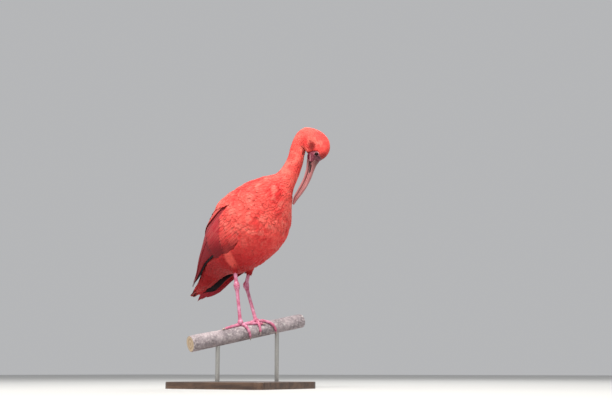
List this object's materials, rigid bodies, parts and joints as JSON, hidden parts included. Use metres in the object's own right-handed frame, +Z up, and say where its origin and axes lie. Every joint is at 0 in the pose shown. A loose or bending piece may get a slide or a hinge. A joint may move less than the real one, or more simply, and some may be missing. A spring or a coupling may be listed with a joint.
{
  "type": "scarlet ibis model",
  "caption": "Life-size scarlet ibis with folded wings and a bill lowered to its breast, gripping a cut branch held by rods on a flat display base.",
  "frame": {"origin": "centre of the whole model's footprint, on the underside of the stand's base", "axes": "+Z up, the bird faces +X, its left side is +Y"},
  "size_m": [0.3346, 0.2508, 0.5292],
  "materials": {
    "plumage": "soft scarlet body feathers with a coral bloom",
    "wing": "smooth crimson wing feathers with black tips to the longest",
    "bill": "satin horn, dusky pink with a dark groove",
    "eye": "wet gloss, near black",
    "leg_skin": "satin scaled pink skin",
    "claw": "satin pale horn",
    "bark": "rough grey bark with paler patches",
    "board": "dark satin wood",
    "rod": "brushed"
  },
  "bodies": {
    "root": {"torso": "plumage", "neck": "plumage", "head": "plumage", "thigh_left": "plumage", "thigh_right": "plumage", "tail": "plumage", "wing_left": "wing", "wing_right": "wing", "bill_upper": "bill", "bill_lower": "bill", "eye_left": "eye", "eye_right": "eye", "leg_left": "leg_skin", "leg_right": "leg_skin", "foot_left": "leg_skin", "foot_right": "leg_skin", "claw_left_1": "claw", "claw_left_2": "claw", "claw_left_3": "claw", "claw_left_4": "claw", "claw_right_1": "claw", "claw_right_2": "claw", "claw_right_3": "claw", "claw_right_4": "claw", "perch": "bark", "stand_base": "board", "stand_rod_1": "rod", "stand_rod_2": "rod"}
  },
  "joints": []
}
